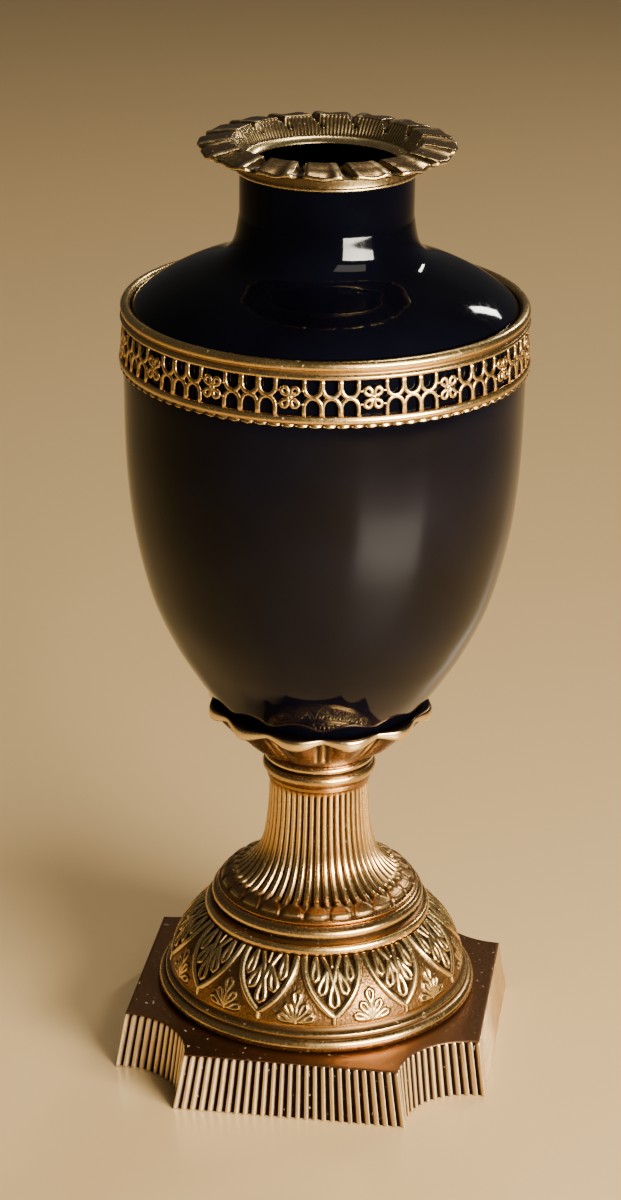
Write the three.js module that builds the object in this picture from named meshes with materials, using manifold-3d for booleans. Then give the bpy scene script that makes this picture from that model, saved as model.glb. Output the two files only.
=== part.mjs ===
// A standing urn: a dark glazed porcelain vase held between gilt brass mounts on a ribbed plinth.
// Units are millimetres, +Z is up, the front is -Y, and the origin is the middle of the underside.
import * as THREE from 'three';
import { mergeVertices } from 'three/addons/utils/BufferGeometryUtils.js';
import Module from 'manifold-3d';

const wasm = await Module();
wasm.setup();

// The gap left at each joint where one piece is set on or in the next
const seatGap = 0.3;
// How many straight sides stand for a full circle on the plain turned parts
const roundSides = 28;

// Plinth
const plinthHalfTop = 95.9;
const plinthHeight = 30.8;
const plinthBatter = 4.7;
const notchRadius = 39;
const faceRibs = 26;
const notchRibs = 14;
const grooveDepth = 1.3;

// Domed foot
const footSetBack = 9.4;
const footBeadHeight = 10;
const footStep = 2.4;
const beltSetBack = 7.5;
const beltStart = 14.9;
const beltHeight = 29.6;
const beltBulge = 3.9;
const beltAboveTop = 3.3;
const leafCount = 12;
const leafTurn = 15;
const leafRelief = 1.3;
const leafBorder = 1.9;
const leafGapAtTop = 1.4;
const footTopRadius = 56.9;
const footTopHeight = 14.4;

// Fluted stem
const discSetBack = 2.7;
const discHeight = 4.6;
const fluteCount = 48;
const fluteDepth = 1.2;
const stemWaist = 26.5;
const stemHeight = 67.7;
const stemFlare = 17.7;
const stemFlareFall = 9.5;
const stemTaper = 4.4;
const stemBandHeight = 5;
const stemBandStep = 1.2;

// Collar between the stem and the leaf cup
const collarOverhang = 3.9;
const collarBeadSetBack = 0.8;
const collarHeight = 12.6;

// Leaf cup
const cupHeight = 29.8;
const cupFloor = 13.6;
const cupClearance = 0.9;
const cupWallAtCusp = 2.3;
const cupWallAtFloor = 11.5;
const cupLipReach = 4.1;
const cupLipDrop = 3.2;
const cupLipThickness = 3;
const cupLobes = 12;
const cupTurn = -5.3;

// Porcelain vase
const vaseRadius = 102.9;
const vaseWall = 4.5;
const vaseFloor = 5.1;
const vaseBodyHeight = 233;
const shoulderHeight = 48;
const shoulderSetBack = 4.5;
const neckRadius = 44.2;
const neckHeight = 25.2;
const vaseFootRadius = 32.5;
const vaseFootFlare = 9;

// Pierced band round the shoulder
const bandThickness = 2.3;
const bandDrop = 31.1;
const lowerRingHeight = 6.3;
const galleryHeight = 18;
const upperRingHeight = 9.1;
const bandPeriods = 16;
const bandColumns = 3;
const rosetteShare = 1.5;
const rosetteHeight = 11;
const bandTurn = -1.5;
const postWidth = 2;
const bandClearance = 0.7;

// Mouth mount
const mountDrop = 3.1;
const mountWall = 1.2;
const mountBead = 0.5;
const mountCollarRise = 4.6;
const mouthSetBack = 6.8;
const rimCrestFlare = 4.3;
const rimCrestHeight = 12.6;
const rimSlotDepth = 2.5;
const rimTipReach = 17.5;
const rimTipDrop = 4.4;
const rimTipThickness = 2;
const rimLobes = 16;
const rimTurn = 4.6;

// Radii that follow from the sizes above
const footRadius = plinthHalfTop - footSetBack;
const beltRadiusBelow = footRadius - beltSetBack;
const beltRadiusAbove = footTopRadius + beltAboveTop;
const discRadius = footTopRadius - discSetBack;
const collarRadius = stemWaist + collarOverhang;
const collarBeadRadius = collarRadius - collarBeadSetBack;
const bandRadius = vaseRadius + bandThickness;
const mouthRadius = neckRadius - mouthSetBack;
const rimCrestRadius = neckRadius + rimCrestFlare;

const degree = Math.PI / 180;

// A point at radius r and height z, at an angle measured from the front towards +X.
function at(r, z, angle) {
  return new THREE.Vector3(r * Math.sin(angle), -r * Math.cos(angle), z);
}

// One level ring of a round piece.
function ring([r, z], sides = roundSides) {
  return Array.from({ length: sides }, (_, k) => at(r, z, (2 * Math.PI * k) / sides));
}

// The single point in which a body closes on its axis.
function pole(z) {
  return [new THREE.Vector3(0, 0, z)];
}

// A strip of triangles between two rings, which may differ in how many points they have.
function strip(index, startA, countA, startB, countB) {
  const stepsA = countA > 1 ? countA : 0;
  const stepsB = countB > 1 ? countB : 0;
  let a = 0;
  let b = 0;
  while (a < stepsA || b < stepsB) {
    const alongA = b >= stepsB || (a < stepsA && (a + 1) * stepsB <= (b + 1) * stepsA);
    if (alongA) {
      index.push(startA + (a % countA), startA + ((a + 1) % countA), startB + (b % countB));
      a += 1;
    } else {
      index.push(startA + (a % countA), startB + ((b + 1) % countB), startB + (b % countB));
      b += 1;
    }
  }
}

// A closed body through a stack of rings, from the bottom up the outside and back down the inside.
// With "endless" the last ring joins the first, as in a hoop.
function bodyThrough(rings, endless = false) {
  const points = rings.flat();
  const starts = [];
  rings.reduce((start, each) => {
    starts.push(start);
    return start + each.length;
  }, 0);
  const index = [];
  const strips = endless ? rings.length : rings.length - 1;
  for (let k = 0; k < strips; k += 1) {
    const next = (k + 1) % rings.length;
    strip(index, starts[k], rings[k].length, starts[next], rings[next].length);
  }
  const geometry = new THREE.BufferGeometry().setFromPoints(points);
  geometry.setIndex(index);
  return geometry;
}

// A solid for cutting and joining, with its shared corners merged.
function solidFrom(geometry) {
  const bare = geometry.clone();
  bare.deleteAttribute('normal');
  bare.deleteAttribute('uv');
  const merged = mergeVertices(bare, 1e-4);
  return new wasm.Manifold(new wasm.Mesh({
    numProp: 3,
    vertProperties: new Float32Array(merged.getAttribute('position').array),
    triVerts: new Uint32Array(merged.getIndex().array),
  }));
}

function geometryFrom(solid) {
  const mesh = solid.getMesh();
  const geometry = new THREE.BufferGeometry();
  geometry.setAttribute('position', new THREE.BufferAttribute(mesh.vertProperties, 3));
  geometry.setIndex(new THREE.BufferAttribute(mesh.triVerts, 1));
  return geometry;
}

function named(name, geometry, colour, roughness, metalness) {
  const flat = geometry.toNonIndexed();
  flat.computeVertexNormals();
  const material = new THREE.MeshStandardMaterial({ color: colour, roughness, metalness });
  const mesh = new THREE.Mesh(flat, material);
  mesh.name = name;
  return mesh;
}

function giltBrass(name, geometry, colour = 0xa9823c) {
  return named(name, geometry, colour, 0.38, 1);
}

// A point part of the way along a line that bulges outward like a bow.
function bowed([r0, z0], [r1, z1], bulge, t) {
  const length = Math.hypot(r1 - r0, z1 - z0);
  const out = (4 * t * (1 - t) * bulge) / length;
  return [r0 + (r1 - r0) * t + (z1 - z0) * out, z0 + (z1 - z0) * t - (r1 - r0) * out];
}

// A ring of straight sides whose flats, not only its corners, keep this radius.
function flatsAt(radius, halfSide = Math.PI / roundSides) {
  return radius / Math.cos(halfSide);
}

// The heights at which the pieces stand, each on the one below
const footBase = plinthHeight + seatGap;
const footHeight = beltStart + beltHeight + footTopHeight;
const stemBase = footBase + footHeight + seatGap;
const collarBase = stemBase + stemHeight + seatGap;
const cupBase = collarBase + collarHeight + seatGap;
const vaseBase = cupBase + cupFloor + seatGap;
const vaseHeight = vaseBodyHeight + shoulderHeight + neckHeight;
const bandBottom = vaseBase + vaseBodyHeight - bandDrop;
const mountSeat = vaseBase + vaseHeight + seatGap;

// Plinth: the side at height z, moved outward by "out" from the rib crests.
// Each side leans out by the batter from top to bottom, the notches with it.
function lean(z) {
  return plinthBatter * (1 - z / plinthHeight);
}

// How far round a notch reaches beyond a quarter circle, since its centre stays where it is.
function notchOverrun(z, out) {
  return Math.asin((lean(z) + out) / (notchRadius - lean(z) - out));
}

function notchPoint(t, z, out) {
  const over = notchOverrun(z, out);
  const angle = Math.PI - over + t * (Math.PI / 2 + 2 * over);
  const radius = notchRadius - lean(z) - out;
  const x = plinthHalfTop + radius * Math.cos(angle);
  const y = plinthHalfTop + radius * Math.sin(angle);
  return new THREE.Vector3(x, -y, z);
}

function facePoint(t, z, out) {
  const radius = notchRadius - lean(z) - out;
  const half = plinthHalfTop - radius * Math.cos(notchOverrun(z, out));
  return new THREE.Vector3((2 * t - 1) * half, -(plinthHalfTop + lean(z) + out), z);
}

function quarterTurn(point, quarter) {
  return point.clone().applyAxisAngle(new THREE.Vector3(0, 0, 1), (quarter * Math.PI) / 2);
}

// The ribbed outline at height z: rib crests and groove floors take turns between plain corners.
function plinthOutline(z) {
  const outline = [];
  for (let quarter = 0; quarter < 4; quarter += 1) {
    for (const [pointOn, ribs] of [[facePoint, faceRibs], [notchPoint, notchRibs]]) {
      outline.push(quarterTurn(pointOn(0, z, 0), quarter));
      for (let k = 1; k < 2 * ribs; k += 1) {
        const out = k % 2 === 0 ? -grooveDepth : 0;
        outline.push(quarterTurn(pointOn(k / (2 * ribs), z, out), quarter));
      }
    }
  }
  return outline;
}

function plinth() {
  return giltBrass('plinth', bodyThrough([
    pole(0), plinthOutline(0), plinthOutline(plinthHeight), pole(plinthHeight),
  ]), 0x8f6a38);
}

// Domed foot: the belt of hanging leaves. "rise" runs from 0 at its lower edge to 1 at its top.
function beltPoint(rise) {
  return bowed([beltRadiusBelow, beltStart], [beltRadiusAbove, beltStart + beltHeight], beltBulge, rise);
}

// Half the angle that a leaf covers, which grows from nothing at the tip like a pointed arch.
function leafHalfAngle(rise, tipRise) {
  const up = Math.max(0, (rise - tipRise) / (1 - tipRise));
  return (180 / leafCount - leafGapAtTop) * (1 - (1 - up) ** 1.9);
}

function beltRing(rise) {
  const tipRise = 0.08;
  const [r, z] = beltPoint(rise);
  const border = (leafBorder / 2 / r) / degree;
  const half = leafHalfAngle(rise, tipRise);
  const inner = Math.max(half - border, 0.5);
  const crest = Math.max(half, 1);
  const outer = Math.min(Math.max(half + border, 1.5), 180 / leafCount - 0.5);
  const relief = rise > tipRise && rise < 1 ? leafRelief : 0;
  const crestRelief = rise >= tipRise ? leafRelief : 0;
  const columns = [
    [-180 / leafCount, 0], [-outer, 0], [-crest, crestRelief], [-inner, 0],
    [0, relief * 0.8], [inner, 0], [crest, crestRelief], [outer, 0],
  ];
  const points = [];
  for (let leaf = 0; leaf < leafCount; leaf += 1) {
    const middle = leafTurn + (leaf * 360) / leafCount;
    for (const [turn, out] of columns) {
      points.push(at(r + out * 0.85, footBase + z + out * 0.5, (middle + turn) * degree));
    }
  }
  return points;
}

function footDome() {
  const top = beltStart + beltHeight;
  const below = [
    ...[[3.3, 0], [0.1, 0.24], [0, 0.52], [3.6, 1]].map(([inward, up]) => (
      [footRadius - inward, up * footBeadHeight]
    )),
    [beltRadiusBelow + 1.3, footBeadHeight + footStep],
  ];
  const mouldings = [
    [beltRadiusAbove + 0.3, 0.07], [beltRadiusAbove - 0.2, 0.36], [footTopRadius - 1.8, 0.54],
    [footTopRadius, 0.68], [footTopRadius, 0.875], [footTopRadius - 2.2, 1],
  ];
  const above = mouldings.map(([r, up]) => [r, top + up * footTopHeight]);
  const raised = ([r, z]) => ring([r, footBase + z]);
  const turn = (leafTurn - 180 / leafCount) * degree;
  const aligned = (points) => points.map((p) => p.applyAxisAngle(new THREE.Vector3(0, 0, 1), turn));
  return giltBrass('foot_dome', bodyThrough([
    pole(footBase), ...below.map(raised).map(aligned),
    ...[0, 0.08, 0.3, 0.62, 1].map(beltRing),
    ...above.map(raised).map(aligned), pole(footBase + footHeight),
  ]));
}

// Fluted stem: the crest radius falls off from the disc to the waist like a trumpet.
function stemRadius(height) {
  const flare = stemFlare * Math.exp((discHeight + 1 - height) / stemFlareFall);
  return stemWaist + flare + stemTaper * (1 - height / stemHeight) ** 2;
}

function fluteRing(height) {
  const crest = stemRadius(height);
  const depth = fluteDepth * (crest / stemWaist) ** 0.5;
  return Array.from({ length: 2 * fluteCount }, (_, k) => (
    at(crest - (k % 2) * depth, stemBase + height, (Math.PI * k) / fluteCount)
  ));
}

function flutedStem() {
  const raised = ([r, z]) => ring([r, stemBase + z]);
  const fluteBottom = discHeight + 1.6;
  const fluteTop = stemHeight - stemBandHeight;
  const stemBandRadius = stemWaist + stemBandStep;
  const below = [
    [discRadius - 0.6, 0], [discRadius, 0.22 * discHeight], [discRadius - 1.4, 0.48 * discHeight],
    [stemRadius(discHeight), discHeight],
  ];
  const above = [[stemBandRadius, fluteTop + 0.9], [stemBandRadius, stemHeight]];
  const fluteHeights = [0, 0.14, 0.386, 1].map((up) => fluteBottom + up * (fluteTop - fluteBottom));
  return giltBrass('fluted_stem', bodyThrough([
    pole(stemBase), ...below.map(raised), ...fluteHeights.map(fluteRing),
    ...above.map(raised), pole(stemBase + stemHeight),
  ]));
}

function stemCollar() {
  const profile = [
    [collarRadius - 2.6, 0], [collarRadius, 0.16], [collarRadius, 0.48], [collarRadius - 2.1, 0.64],
    [collarBeadRadius, 0.76], [collarBeadRadius - 0.2, 0.9], [collarBeadRadius - 2, 1],
  ];
  const rings = profile.map(([r, up]) => ring([r, collarBase + up * collarHeight]));
  return giltBrass('stem_collar', bodyThrough([pole(collarBase), ...rings, pole(collarBase + collarHeight)]));
}

// Porcelain vase: the outside, as radius and height above the vase's base.
// The belly is a smooth curve through a few radii given as shares of the widest one.
const belly = new THREE.SplineCurve([
  [0.48, 0.041], [0.558, 0.084], [0.6618, 0.1485], [0.7745, 0.2344], [0.8756, 0.3417],
  [0.9543, 0.4919], [0.9903, 0.6421], [1, 0.80], [0.9985, 0.88],
].map(([r, z]) => new THREE.Vector2(r * vaseRadius, z * vaseBodyHeight)));

function shoulderProfile() {
  const run = vaseRadius - shoulderSetBack - neckRadius;
  return [
    [vaseRadius - 0.53 * shoulderSetBack, 0.97 * vaseBodyHeight],
    ...[[1, 0], [0.9, 0.11], [0.734, 0.237], [0.55, 0.342], [0.365, 0.425], [0.218, 0.498],
      [0.116, 0.581], [0.045, 0.72], [0, 1]]
      .map(([out, up]) => [neckRadius + out * run, vaseBodyHeight + up * shoulderHeight]),
  ];
}

function vaseOutside() {
  return [
    [vaseFootRadius, 0], [vaseFootRadius + vaseFootFlare, 2],
    ...belly.getPoints(7).map((p) => [p.x, p.y]),
    ...shoulderProfile(), [neckRadius, vaseHeight],
  ];
}

// The same outline moved inward, square to itself, by the wall.
function inset(profile, wall) {
  return profile.map(([r, z], k) => {
    const [r0, z0] = profile[Math.max(k - 1, 0)];
    const [r1, z1] = profile[Math.min(k + 1, profile.length - 1)];
    const length = Math.hypot(r1 - r0, z1 - z0);
    return [r - (wall * (z1 - z0)) / length, z + (wall * (r1 - r0)) / length];
  });
}

function vase() {
  const outside = vaseOutside();
  const inside = inset(outside, vaseWall).filter((_, k) => k > 1 && k % 2 === 0 && k < outside.length - 1);
  const inner = [
    [neckRadius - vaseWall, vaseHeight], ...inside.reverse(), [vaseFootRadius, vaseFloor],
  ];
  const raised = ([r, z]) => ring([r, vaseBase + z]);
  return named('vase', bodyThrough([
    pole(vaseBase), ...outside.map(raised), ...inner.map(raised), pole(vaseBase + vaseFloor),
  ]), 0x0b0d18, 0.08, 0);
}

// Radius of the vase's outside at a height above the vase's base
function vaseRadiusAt(height) {
  const outside = vaseOutside();
  const k = outside.findIndex(([, z]) => z >= height);
  const [r0, z0] = outside[k - 1];
  const [r1, z1] = outside[k];
  return r0 + ((r1 - r0) * (height - z0)) / (z1 - z0);
}

// Leaf cup: "lobe" is 1 at the middle of a lobe and 0 at the cusp between two.
function cupRing(pointAt) {
  const perLobe = 4;
  const count = cupLobes * perLobe;
  return Array.from({ length: count }, (_, k) => {
    const lobe = Math.sin((Math.PI * (k % perLobe)) / perLobe) ** 0.7;
    const [r, z] = pointAt(lobe);
    const angle = (cupTurn + ((k / perLobe - 0.5) * 360) / cupLobes) * degree;
    return at(r, cupBase + z, angle);
  });
}

function leafCup() {
  const turn = (cupTurn - 180 / cupLobes) * degree;
  const plain = ([r, z]) => (
    ring([r, cupBase + z]).map((p) => p.applyAxisAngle(new THREE.Vector3(0, 0, 1), turn))
  );
  const seatAt = (z) => vaseRadiusAt(z - cupFloor - seatGap) + cupClearance;
  const seatMiddle = (cupFloor + cupHeight) / 2;
  const cusp = seatAt(cupHeight) + cupWallAtCusp;
  return giltBrass('leaf_cup', bodyThrough([
    pole(cupBase), plain([collarBeadRadius - 1.6, 0]),
    cupRing(() => [collarBeadRadius - 0.6, 1]),
    cupRing((lobe) => [vaseFootRadius + cupWallAtFloor + 2.4 * lobe, cupFloor - 0.8]),
    cupRing((lobe) => [
      cusp - 1.4 + (cupLipReach - 1) * lobe, cupHeight - cupLipThickness - cupLipDrop * lobe,
    ]),
    cupRing((lobe) => [cusp + cupLipReach * lobe, cupHeight - (1 + lobe) * 0.5 * cupLipThickness]),
    cupRing((lobe) => [cusp - 0.9 + cupLipReach * 0.5 * lobe, cupHeight - 0.1 * lobe]),
    plain([seatAt(cupHeight), cupHeight - 0.3]), plain([seatAt(seatMiddle), seatMiddle]),
    plain([vaseFootRadius + vaseFootFlare + 1, cupFloor + 1.4]), plain([vaseFootRadius + 0.6, cupFloor]),
    pole(cupBase + cupFloor),
  ]));
}

// Pierced band: one long facet carries the rosette cell and a column, the next carries two columns.
const columnAngle = 360 / bandPeriods / (bandColumns + rosetteShare);

function bandRing([r, z]) {
  const points = [];
  for (let period = 0; period < bandPeriods; period += 1) {
    const start = bandTurn + (period * 360) / bandPeriods - (columnAngle * rosetteShare) / 2;
    for (const columns of [0, rosetteShare + 1]) {
      points.push(at(r, bandBottom + z, (start + columns * columnAngle) * degree));
    }
  }
  return points;
}

// A block that cuts one window through the gallery, square to the facet that it lies in.
function windowCutter(angle, facetAngle, width, low, high) {
  const block = new THREE.BoxGeometry(width, 6 * bandThickness, high - low);
  const aside = bandRadius * Math.tan((angle - facetAngle) * degree);
  block.translate(aside, bandThickness - bandRadius, (low + high) / 2 + bandBottom);
  block.rotateZ(facetAngle * degree);
  return solidFrom(block);
}

function piercedBand() {
  const halfFacet = (columnAngle * (rosetteShare + 1) * degree) / 2;
  const inner = (z) => flatsAt(vaseRadiusAt(bandBottom + z - vaseBase) + bandClearance, halfFacet);
  const galleryTop = lowerRingHeight + galleryHeight;
  const upperRing = [[0.1, 0.24], [-0.9, 0.5], [-0.1, 0.78], [-2.8, 1], [-5, 0.82]];
  const profile = [
    [bandRadius - 0.2, 0], [bandRadius + 0.5, 0.54 * lowerRingHeight], [bandRadius + 0.1, lowerRingHeight],
    [bandRadius - 1.4, galleryTop],
    ...upperRing.map(([out, up]) => [bandRadius + out, galleryTop + up * upperRingHeight]),
    [inner(galleryTop), galleryTop], [inner(0), 0.2],
  ];
  let solid = solidFrom(bodyThrough(profile.map(bandRing), true));
  const low = lowerRingHeight + 0.7;
  const high = galleryTop - 0.7;
  const middle = (low + high) / 2;
  const columnWidth = bandRadius * columnAngle * degree - postWidth;
  const rosetteWidth = bandRadius * columnAngle * rosetteShare * degree - postWidth;
  for (let period = 0; period < bandPeriods; period += 1) {
    const rosette = bandTurn + (period * 360) / bandPeriods;
    const start = rosette - (columnAngle * rosetteShare) / 2;
    const firstFacet = start + (columnAngle * (rosetteShare + 1)) / 2;
    const secondFacet = start + columnAngle * (rosetteShare + 2);
    const cutters = [
      windowCutter(rosette, firstFacet, rosetteWidth, low, middle - rosetteHeight / 2),
      windowCutter(rosette, firstFacet, rosetteWidth, middle + rosetteHeight / 2, high),
    ];
    for (let column = 0; column < bandColumns; column += 1) {
      const angle = start + columnAngle * (rosetteShare + column + 0.5);
      const facet = column === 0 ? firstFacet : secondFacet;
      cutters.push(windowCutter(angle, facet, columnWidth, low, high));
    }
    cutters.forEach((cutter) => {
      solid = solid.subtract(cutter);
    });
  }
  return giltBrass('pierced_band', geometryFrom(solid));
}

// Mouth mount: "lobe" is 0 in the slot between two leaf tips and 1 over the breadth of a tip.
function rimRing(pointAt) {
  const shares = [[-0.5, 0], [-0.32, 0.9], [0, 1], [0.38, 0.9]];
  const points = [];
  for (let tip = 0; tip < rimLobes; tip += 1) {
    for (const [share, lobe] of shares) {
      const [r, z] = pointAt(lobe);
      points.push(at(r, mountSeat + z, (rimTurn + ((tip + share) * 360) / rimLobes) * degree));
    }
  }
  return points;
}

function mouthMount() {
  const turn = (rimTurn - 180 / rimLobes) * degree;
  const plain = ([r, z]) => (
    ring([r, mountSeat + z]).map((p) => p.applyAxisAngle(new THREE.Vector3(0, 0, 1), turn))
  );
  const bore = flatsAt(neckRadius + seatGap);
  const slot = rimCrestRadius + rimSlotDepth;
  const reach = rimTipReach - rimSlotDepth;
  const tip = rimCrestHeight - rimTipDrop;
  return giltBrass('mouth_mount', bodyThrough([
    plain([bore, -mountDrop]), plain([bore + mountWall + mountBead, -mountDrop]),
    plain([bore + mountWall, mountCollarRise]),
    rimRing((lobe) => [slot - 1.5 + (reach - 1) * lobe, tip + 0.4 - (1 + 0.2 * lobe) * rimTipThickness]),
    rimRing((lobe) => [slot + reach * lobe, tip + 0.2]),
    rimRing((lobe) => [rimCrestRadius + 0.37 * rimTipReach * lobe, rimCrestHeight - 3 + 2.4 * lobe]),
    rimRing((lobe) => [rimCrestRadius - 1, rimCrestHeight - 2.6 + 2.6 * lobe]),
    plain([mouthRadius + 2.6, 2.2]), plain([mouthRadius, 0.8]), plain([mouthRadius, 0]), plain([bore, 0]),
  ], true));
}

const urn = new THREE.Group();
urn.add(plinth(), footDome(), flutedStem(), stemCollar(), leafCup(), vase(), piercedBand(), mouthMount());

export default urn;
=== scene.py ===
import math
import bpy
import numpy as np
from mathutils import Matrix


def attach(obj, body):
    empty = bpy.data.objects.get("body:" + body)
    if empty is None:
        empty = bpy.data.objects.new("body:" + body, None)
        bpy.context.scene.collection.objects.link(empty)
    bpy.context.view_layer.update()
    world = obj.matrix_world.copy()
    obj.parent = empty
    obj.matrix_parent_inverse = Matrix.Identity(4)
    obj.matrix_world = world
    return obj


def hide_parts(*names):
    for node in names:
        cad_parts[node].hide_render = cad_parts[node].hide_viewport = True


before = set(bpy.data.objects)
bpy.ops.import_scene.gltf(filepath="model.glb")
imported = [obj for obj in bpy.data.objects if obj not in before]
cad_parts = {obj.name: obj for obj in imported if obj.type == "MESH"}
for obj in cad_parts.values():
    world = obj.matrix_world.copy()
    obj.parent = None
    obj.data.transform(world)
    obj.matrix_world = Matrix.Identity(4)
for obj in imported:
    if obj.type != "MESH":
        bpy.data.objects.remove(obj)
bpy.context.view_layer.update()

# Camera
# It stands to the right of the front and looks down on the urn, as the photograph was taken.
# The place, in millimetres, and the three angles, in radians, were solved from the urn's own circles.
mm = 0.001
camera_place = np.array([221.6, -1622.9, 922.2])
camera_yaw = -0.1392
camera_pitch = 0.3867
camera_roll = 0.0126
camera_lens = 100.74


def look(place, yaw, pitch, roll, lens):
    """A camera at a place in millimetres, turned by yaw from +Y to +X, dipped by pitch, then rolled."""
    ahead = np.array([math.sin(yaw) * math.cos(pitch), math.cos(yaw) * math.cos(pitch), -math.sin(pitch)])
    level = np.array([math.cos(yaw), -math.sin(yaw), 0.0])
    above = np.cross(level, ahead)
    right = level * math.cos(roll) + above * math.sin(roll)
    up = above * math.cos(roll) - level * math.sin(roll)
    camera = bpy.data.objects.new("camera", bpy.data.cameras.new("camera"))
    camera.data.lens = lens
    camera.data.clip_end = 50
    matrix = np.eye(4)
    matrix[:3, 0], matrix[:3, 1], matrix[:3, 2], matrix[:3, 3] = right, up, -ahead, place * mm
    camera.matrix_world = Matrix(matrix.tolist())
    bpy.context.scene.collection.objects.link(camera)
    return camera


bpy.context.scene.camera = look(camera_place, camera_yaw, camera_pitch, camera_roll, camera_lens)

# Plinth
# A square cast brass base with a quarter-round bite out of each corner and ribs all round its sides.
# It is aged to a coppery brown, rubbed pale on the ribs, and black in the grooves between them.
plinth_half_top = 95.9
plinth_height = 30.8
plinth_batter = 4.7
notch_radius = 39.0
face_ribs = 26
notch_ribs = 14
rib_samples = 10
groove_depth = 1.6
groove_end_gap = 0.7
rib_end_round = 1.9
plinth_edge = 0.6


def new_mesh(name, points, quads, triangles, marks):
    """A smooth mesh piece from points in millimetres, with each named mark stored as a number per point."""
    mesh = bpy.data.meshes.new(name)
    mesh.from_pydata((points * mm).tolist(), [], quads.tolist() + triangles.tolist())
    for mark, values in marks.items():
        mesh.attributes.new(mark, "FLOAT", "POINT").data.foreach_set("value", values.astype(np.float32))
    mesh.shade_smooth()
    piece = bpy.data.objects.new(name, mesh)
    bpy.context.scene.collection.objects.link(piece)
    return piece


def closed_shell(points, loop=False):
    """Points, quads and triangles of one closed body from a grid of shape rows x columns x 3.
    Each row closes on itself. With loop the last row joins the first; otherwise a point in the middle
    of the first row and one in the middle of the last close the ends with triangles."""
    rows, columns, _ = points.shape
    row = np.arange(rows if loop else rows - 1)[:, None]
    column = np.arange(columns)[None, :]
    beside = (column + 1) % columns
    above = (row + 1) % rows
    corners = [row * columns + column, row * columns + beside,
               above * columns + beside, above * columns + column]
    quads = np.stack(corners, -1).reshape(-1, 4)
    flat = points.reshape(-1, 3)
    if loop:
        return flat, quads, np.zeros((0, 3), int)
    bottom = rows * columns + 0 * column[0]
    last_row = (rows - 1) * columns
    triangles = np.vstack([
        np.stack([beside[0], column[0], bottom], -1),
        np.stack([column[0] + last_row, beside[0] + last_row, bottom + 1], -1),
    ])
    return np.vstack([flat, points[0].mean(0), points[-1].mean(0)]), quads, triangles


def shell_marks(marks, shape, loop=False):
    """Marks given per grid point or per row, held between 0 and 1 and made one flat list each; the points
    that close the ends get 0."""
    flat = {}
    for mark, values in marks.items():
        full = np.clip(np.broadcast_to(values, shape), 0, 1).reshape(-1)
        flat[mark] = full if loop else np.append(full, [0.0, 0.0])
    return flat


def plinth_outline(z, sunk):
    """The outline at height z, moved inward by sunk at each point.
    Each quarter is a straight face, then a quarter-round notch whose centre is the square's corner;
    the sides lean outward downwards by the batter."""
    lean = plinth_batter * (1 - z / plinth_height)
    out = lean - sunk
    radius = notch_radius - out
    over = np.arcsin(out / radius)
    along = np.arange(face_ribs * rib_samples) / (face_ribs * rib_samples)
    around = np.arange(notch_ribs * rib_samples) / (notch_ribs * rib_samples)
    sides = []
    for quarter in range(4):
        face = quarter * (face_ribs + notch_ribs) * rib_samples + np.arange(len(along))
        notch = face[-1] + 1 + np.arange(len(around))
        half = plinth_half_top - radius[face] * np.cos(over[face])
        face_xy = np.stack([(2 * along - 1) * half, -(plinth_half_top + out[face])], -1)
        angle = math.pi - over[notch] + around * (math.pi / 2 + 2 * over[notch])
        notch_xy = np.stack([plinth_half_top + radius[notch] * np.cos(angle),
                             -plinth_half_top - radius[notch] * np.sin(angle)], -1)
        turn = quarter * math.pi / 2
        spin = np.array([[math.cos(turn), math.sin(turn)], [-math.sin(turn), math.cos(turn)]])
        sides.append(np.vstack([face_xy, notch_xy]) @ spin)
    return np.vstack(sides)


def smooth_step(x, low, high):
    """0 below low, 1 above high, and the cubic 3t^2 - 2t^3 between them."""
    t = np.clip((x - low) / (high - low), 0.0, 1.0)
    return t * t * (3 - 2 * t)


def make_plinth():
    """Rows go up the ribbed side, over a rounded edge, and in across the top.
    Across a rib the side is gently rounded; between two ribs it drops by the groove's depth."""
    columns = 4 * (face_ribs + notch_ribs) * rib_samples
    across = np.abs((np.arange(columns) / rib_samples + 0.5) % 1.0 - 0.5) * 2
    groove = 0.16 * across ** 2 + 0.84 * smooth_step(across, 0.32, 0.6)
    end = plinth_height - groove_end_gap
    heights = np.concatenate([[0.0, 0.25, 0.6], np.linspace(1.2, end - 2.4, 7),
                              end - np.array([1.9, 1.5, 1.1, 0.75, 0.45, 0.2, 0.0])])
    rows, hollow, rubbed = [], [], []
    for z in heights:
        below_end = min((end - z) / rib_end_round, 1.0)
        reach = math.sqrt(1 - (1 - below_end) ** 2)
        shape = groove * min(2.5 * reach, 1.0) + 0.35 * (1 - reach) * (1 - groove)
        outline = plinth_outline(z, groove_depth * shape + (0.25 - min(z, 0.25)))
        rows.append(np.column_stack([outline, np.full(columns, z)]))
        hollow.append(smooth_step(across, 0.42, 0.58))
        rubbed.append(1 - smooth_step(across, 0.34 * reach, 0.5 * reach + 0.02))
    for t in np.linspace(0, 1, 5):
        inward = plinth_edge * (1 - math.cos(t * math.pi / 2))
        z = plinth_height - plinth_edge + plinth_edge * math.sin(t * math.pi / 2)
        rows.append(np.column_stack([plinth_outline(z, np.full(columns, inward)), np.full(columns, z)]))
        hollow.append(np.full(columns, 0.25))
        rubbed.append(np.zeros(columns))
    edge = rows[-1]
    for share in (0.985, 0.96, 0.93, 0.9, 0.85, 0.7, 0.4):
        rows.append(np.column_stack([edge[:, :2] * share, np.full(columns, plinth_height)]))
        hollow.append(np.full(columns, 0.12))
        rubbed.append(np.zeros(columns))
    points = np.stack(rows)
    marks = shell_marks({"hollow": np.stack(hollow), "rubbed": np.stack(rubbed)}, points.shape[:2])
    return new_mesh("ribbed_plinth", *closed_shell(points), marks)


range_sockets = ("From Min", "From Max", "To Min", "To Max")


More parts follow.
